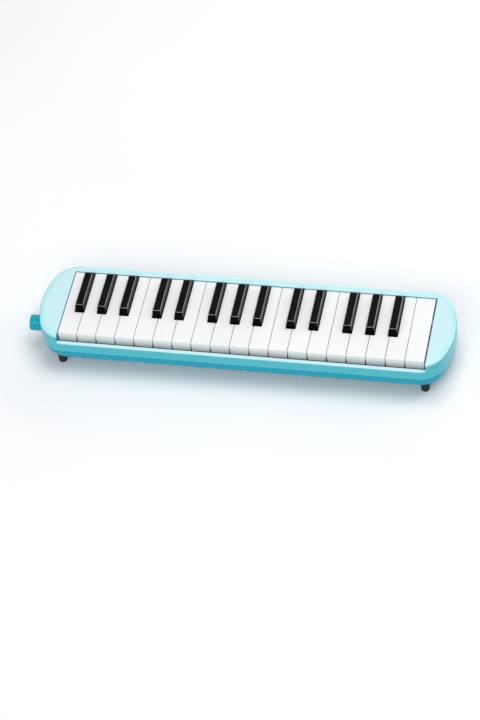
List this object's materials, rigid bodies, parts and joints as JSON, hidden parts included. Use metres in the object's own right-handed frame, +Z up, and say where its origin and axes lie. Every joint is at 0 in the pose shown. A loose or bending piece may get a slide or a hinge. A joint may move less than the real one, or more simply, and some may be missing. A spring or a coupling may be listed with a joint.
{
  "type": "melodica",
  "caption": "Free-reed wind instrument with a piano keyboard in a low round-cornered case, a mouthpiece socket at its left end, rubber feet, a hand strap and a drain valve below.",
  "frame": {"origin": "On the resting surface, under the middle of the bounding box, on the bottoms of the feet.", "axes": "+X runs along the keyboard from the low notes and the mouthpiece to the high notes, +Y points away from the player, +Z is up."},
  "size_m": [0.4364, 0.104, 0.052],
  "materials": {
    "case_light": "gloss, pale cyan",
    "case_teal": "gloss, deep teal",
    "key_white": "gloss, white",
    "key_black": "gloss, black",
    "inner_plastic": "fine matte",
    "drain_plastic": "gloss, off-white",
    "frame_aluminium": "brushed",
    "steel": "turned",
    "spring_steel": "bright",
    "reed_plate": "ground flat",
    "reed_brass": "polished",
    "felt": "dense red felt",
    "gasket": "matte",
    "seal_rubber": "matte",
    "foot_rubber": "matte black",
    "strap_fabric": "woven webbing, black"
  },
  "bodies": {
    "case": {"upper_case": "case_light", "lower_case": "case_teal", "mouthpiece_socket": "case_teal", "socket_seal": "seal_rubber", "key_frame": "frame_aluminium", "key_rod": "steel", "key_guide_comb": "inner_plastic", "key_springs": "spring_steel", "key_felt": "felt", "reed_plate_low": "reed_plate", "reed_plate_high": "reed_plate", "reeds_low": "reed_brass", "reeds_high": "reed_brass", "reed_gasket": "gasket", "chamber_cover": "inner_plastic", "chamber_gasket": "gasket", "chassis_screws": "steel", "drain_spring": "spring_steel", "foot_front_left": "foot_rubber", "foot_front_right": "foot_rubber", "foot_rear_left": "foot_rubber", "foot_rear_right": "foot_rubber", "case_screws": "steel", "hand_strap": "strap_fabric", "strap_anchors": "inner_plastic", "strap_screws": "steel"},
    "body_f3": {"key_f3": "key_white"},
    "body_f3_sharp": {"key_f3_sharp": "key_black"},
    "body_g3": {"key_g3": "key_white"},
    "body_g3_sharp": {"key_g3_sharp": "key_black"},
    "body_a3": {"key_a3": "key_white"},
    "body_a3_sharp": {"key_a3_sharp": "key_black"},
    "body_b3": {"key_b3": "key_white"},
    "body_c4": {"key_c4": "key_white"},
    "body_c4_sharp": {"key_c4_sharp": "key_black"},
    "body_d4": {"key_d4": "key_white"},
    "body_d4_sharp": {"key_d4_sharp": "key_black"},
    "body_e4": {"key_e4": "key_white"},
    "body_f4": {"key_f4": "key_white"},
    "body_f4_sharp": {"key_f4_sharp": "key_black"},
    "body_g4": {"key_g4": "key_white"},
    "body_g4_sharp": {"key_g4_sharp": "key_black"},
    "body_a4": {"key_a4": "key_white"},
    "body_a4_sharp": {"key_a4_sharp": "key_black"},
    "body_b4": {"key_b4": "key_white"},
    "body_c5": {"key_c5": "key_white"},
    "body_c5_sharp": {"key_c5_sharp": "key_black"},
    "body_d5": {"key_d5": "key_white"},
    "body_d5_sharp": {"key_d5_sharp": "key_black"},
    "body_e5": {"key_e5": "key_white"},
    "body_f5": {"key_f5": "key_white"},
    "body_f5_sharp": {"key_f5_sharp": "key_black"},
    "body_g5": {"key_g5": "key_white"},
    "body_g5_sharp": {"key_g5_sharp": "key_black"},
    "body_a5": {"key_a5": "key_white"},
    "body_a5_sharp": {"key_a5_sharp": "key_black"},
    "body_b5": {"key_b5": "key_white"},
    "body_c6": {"key_c6": "key_white"},
    "drain": {"drain_button": "drain_plastic", "drain_valve": "seal_rubber"}
  },
  "joints": [
    {"name": "key_f3_press", "type": "hinge", "parent": "case", "child": "body_f3", "pos_m": [0, 0.014, 0.0375], "axis": [1, 0, 0], "range_deg": [0, 4], "stiffness_Nm_per_rad": 0.25, "springref_deg": -6.88, "deforming": ["key_springs"]},
    {"name": "key_f3_sharp_press", "type": "hinge", "parent": "case", "child": "body_f3_sharp", "pos_m": [0, 0.014, 0.0375], "axis": [1, 0, 0], "range_deg": [0, 6.4], "stiffness_Nm_per_rad": 0.25, "springref_deg": -6.88, "deforming": ["key_springs"]},
    {"name": "key_g3_press", "type": "hinge", "parent": "case", "child": "body_g3", "pos_m": [0, 0.014, 0.0375], "axis": [1, 0, 0], "range_deg": [0, 4], "stiffness_Nm_per_rad": 0.25, "springref_deg": -6.88, "deforming": ["key_springs"]},
    {"name": "key_g3_sharp_press", "type": "hinge", "parent": "case", "child": "body_g3_sharp", "pos_m": [0, 0.014, 0.0375], "axis": [1, 0, 0], "range_deg": [0, 6.4], "stiffness_Nm_per_rad": 0.25, "springref_deg": -6.88, "deforming": ["key_springs"]},
    {"name": "key_a3_press", "type": "hinge", "parent": "case", "child": "body_a3", "pos_m": [0, 0.014, 0.0375], "axis": [1, 0, 0], "range_deg": [0, 4], "stiffness_Nm_per_rad": 0.25, "springref_deg": -6.88, "deforming": ["key_springs"]},
    {"name": "key_a3_sharp_press", "type": "hinge", "parent": "case", "child": "body_a3_sharp", "pos_m": [0, 0.014, 0.0375], "axis": [1, 0, 0], "range_deg": [0, 6.4], "stiffness_Nm_per_rad": 0.25, "springref_deg": -6.88, "deforming": ["key_springs"]},
    {"name": "key_b3_press", "type": "hinge", "parent": "case", "child": "body_b3", "pos_m": [0, 0.014, 0.0375], "axis": [1, 0, 0], "range_deg": [0, 4], "stiffness_Nm_per_rad": 0.25, "springref_deg": -6.88, "deforming": ["key_springs"]},
    {"name": "key_c4_press", "type": "hinge", "parent": "case", "child": "body_c4", "pos_m": [0, 0.014, 0.0375], "axis": [1, 0, 0], "range_deg": [0, 4], "stiffness_Nm_per_rad": 0.25, "springref_deg": -6.88, "deforming": ["key_springs"]},
    {"name": "key_c4_sharp_press", "type": "hinge", "parent": "case", "child": "body_c4_sharp", "pos_m": [0, 0.014, 0.0375], "axis": [1, 0, 0], "range_deg": [0, 6.4], "stiffness_Nm_per_rad": 0.25, "springref_deg": -6.88, "deforming": ["key_springs"]},
    {"name": "key_d4_press", "type": "hinge", "parent": "case", "child": "body_d4", "pos_m": [0, 0.014, 0.0375], "axis": [1, 0, 0], "range_deg": [0, 4], "stiffness_Nm_per_rad": 0.25, "springref_deg": -6.88, "deforming": ["key_springs"]},
    {"name": "key_d4_sharp_press", "type": "hinge", "parent": "case", "child": "body_d4_sharp", "pos_m": [0, 0.014, 0.0375], "axis": [1, 0, 0], "range_deg": [0, 6.4], "stiffness_Nm_per_rad": 0.25, "springref_deg": -6.88, "deforming": ["key_springs"]},
    {"name": "key_e4_press", "type": "hinge", "parent": "case", "child": "body_e4", "pos_m": [0, 0.014, 0.0375], "axis": [1, 0, 0], "range_deg": [0, 4], "stiffness_Nm_per_rad": 0.25, "springref_deg": -6.88, "deforming": ["key_springs"]},
    {"name": "key_f4_press", "type": "hinge", "parent": "case", "child": "body_f4", "pos_m": [0, 0.014, 0.0375], "axis": [1, 0, 0], "range_deg": [0, 4], "stiffness_Nm_per_rad": 0.25, "springref_deg": -6.88, "deforming": ["key_springs"]},
    {"name": "key_f4_sharp_press", "type": "hinge", "parent": "case", "child": "body_f4_sharp", "pos_m": [0, 0.014, 0.0375], "axis": [1, 0, 0], "range_deg": [0, 6.4], "stiffness_Nm_per_rad": 0.25, "springref_deg": -6.88, "deforming": ["key_springs"]},
    {"name": "key_g4_press", "type": "hinge", "parent": "case", "child": "body_g4", "pos_m": [0, 0.014, 0.0375], "axis": [1, 0, 0], "range_deg": [0, 4], "stiffness_Nm_per_rad": 0.25, "springref_deg": -6.88, "deforming": ["key_springs"]},
    {"name": "key_g4_sharp_press", "type": "hinge", "parent": "case", "child": "body_g4_sharp", "pos_m": [0, 0.014, 0.0375], "axis": [1, 0, 0], "range_deg": [0, 6.4], "stiffness_Nm_per_rad": 0.25, "springref_deg": -6.88, "deforming": ["key_springs"]},
    {"name": "key_a4_press", "type": "hinge", "parent": "case", "child": "body_a4", "pos_m": [0, 0.014, 0.0375], "axis": [1, 0, 0], "range_deg": [0, 4], "stiffness_Nm_per_rad": 0.25, "springref_deg": -6.88, "deforming": ["key_springs"]},
    {"name": "key_a4_sharp_press", "type": "hinge", "parent": "case", "child": "body_a4_sharp", "pos_m": [0, 0.014, 0.0375], "axis": [1, 0, 0], "range_deg": [0, 6.4], "stiffness_Nm_per_rad": 0.25, "springref_deg": -6.88, "deforming": ["key_springs"]},
    {"name": "key_b4_press", "type": "hinge", "parent": "case", "child": "body_b4", "pos_m": [0, 0.014, 0.0375], "axis": [1, 0, 0], "range_deg": [0, 4], "stiffness_Nm_per_rad": 0.25, "springref_deg": -6.88, "deforming": ["key_springs"]},
    {"name": "key_c5_press", "type": "hinge", "parent": "case", "child": "body_c5", "pos_m": [0, 0.014, 0.0375], "axis": [1, 0, 0], "range_deg": [0, 4], "stiffness_Nm_per_rad": 0.25, "springref_deg": -6.88, "deforming": ["key_springs"]},
    {"name": "key_c5_sharp_press", "type": "hinge", "parent": "case", "child": "body_c5_sharp", "pos_m": [0, 0.014, 0.0375], "axis": [1, 0, 0], "range_deg": [0, 6.4], "stiffness_Nm_per_rad": 0.25, "springref_deg": -6.88, "deforming": ["key_springs"]},
    {"name": "key_d5_press", "type": "hinge", "parent": "case", "child": "body_d5", "pos_m": [0, 0.014, 0.0375], "axis": [1, 0, 0], "range_deg": [0, 4], "stiffness_Nm_per_rad": 0.25, "springref_deg": -6.88, "deforming": ["key_springs"]},
    {"name": "key_d5_sharp_press", "type": "hinge", "parent": "case", "child": "body_d5_sharp", "pos_m": [0, 0.014, 0.0375], "axis": [1, 0, 0], "range_deg": [0, 6.4], "stiffness_Nm_per_rad": 0.25, "springref_deg": -6.88, "deforming": ["key_springs"]},
    {"name": "key_e5_press", "type": "hinge", "parent": "case", "child": "body_e5", "pos_m": [0, 0.014, 0.0375], "axis": [1, 0, 0], "range_deg": [0, 4], "stiffness_Nm_per_rad": 0.25, "springref_deg": -6.88, "deforming": ["key_springs"]},
    {"name": "key_f5_press", "type": "hinge", "parent": "case", "child": "body_f5", "pos_m": [0, 0.014, 0.0375], "axis": [1, 0, 0], "range_deg": [0, 4], "stiffness_Nm_per_rad": 0.25, "springref_deg": -6.88, "deforming": ["key_springs"]},
    {"name": "key_f5_sharp_press", "type": "hinge", "parent": "case", "child": "body_f5_sharp", "pos_m": [0, 0.014, 0.0375], "axis": [1, 0, 0], "range_deg": [0, 6.4], "stiffness_Nm_per_rad": 0.25, "springref_deg": -6.88, "deforming": ["key_springs"]},
    {"name": "key_g5_press", "type": "hinge", "parent": "case", "child": "body_g5", "pos_m": [0, 0.014, 0.0375], "axis": [1, 0, 0], "range_deg": [0, 4], "stiffness_Nm_per_rad": 0.25, "springref_deg": -6.88, "deforming": ["key_springs"]},
    {"name": "key_g5_sharp_press", "type": "hinge", "parent": "case", "child": "body_g5_sharp", "pos_m": [0, 0.014, 0.0375], "axis": [1, 0, 0], "range_deg": [0, 6.4], "stiffness_Nm_per_rad": 0.25, "springref_deg": -6.88, "deforming": ["key_springs"]},
    {"name": "key_a5_press", "type": "hinge", "parent": "case", "child": "body_a5", "pos_m": [0, 0.014, 0.0375], "axis": [1, 0, 0], "range_deg": [0, 4], "stiffness_Nm_per_rad": 0.25, "springref_deg": -6.88, "deforming": ["key_springs"]},
    {"name": "key_a5_sharp_press", "type": "hinge", "parent": "case", "child": "body_a5_sharp", "pos_m": [0, 0.014, 0.0375], "axis": [1, 0, 0], "range_deg": [0, 6.4], "stiffness_Nm_per_rad": 0.25, "springref_deg": -6.88, "deforming": ["key_springs"]},
    {"name": "key_b5_press", "type": "hinge", "parent": "case", "child": "body_b5", "pos_m": [0, 0.014, 0.0375], "axis": [1, 0, 0], "range_deg": [0, 4], "stiffness_Nm_per_rad": 0.25, "springref_deg": -6.88, "deforming": ["key_springs"]},
    {"name": "key_c6_press", "type": "hinge", "parent": "case", "child": "body_c6", "pos_m": [0, 0.014, 0.0375], "axis": [1, 0, 0], "range_deg": [0, 4], "stiffness_Nm_per_rad": 0.25, "springref_deg": -6.88, "deforming": ["key_springs"]},
    {"name": "drain_press", "type": "slide", "parent": "case", "child": "drain", "axis": [0, 0, 1], "range_m": [0, 0.0016], "stiffness_N_per_m": 900, "springref_m": -0.0015, "deforming": ["drain_spring"]}
  ]
}
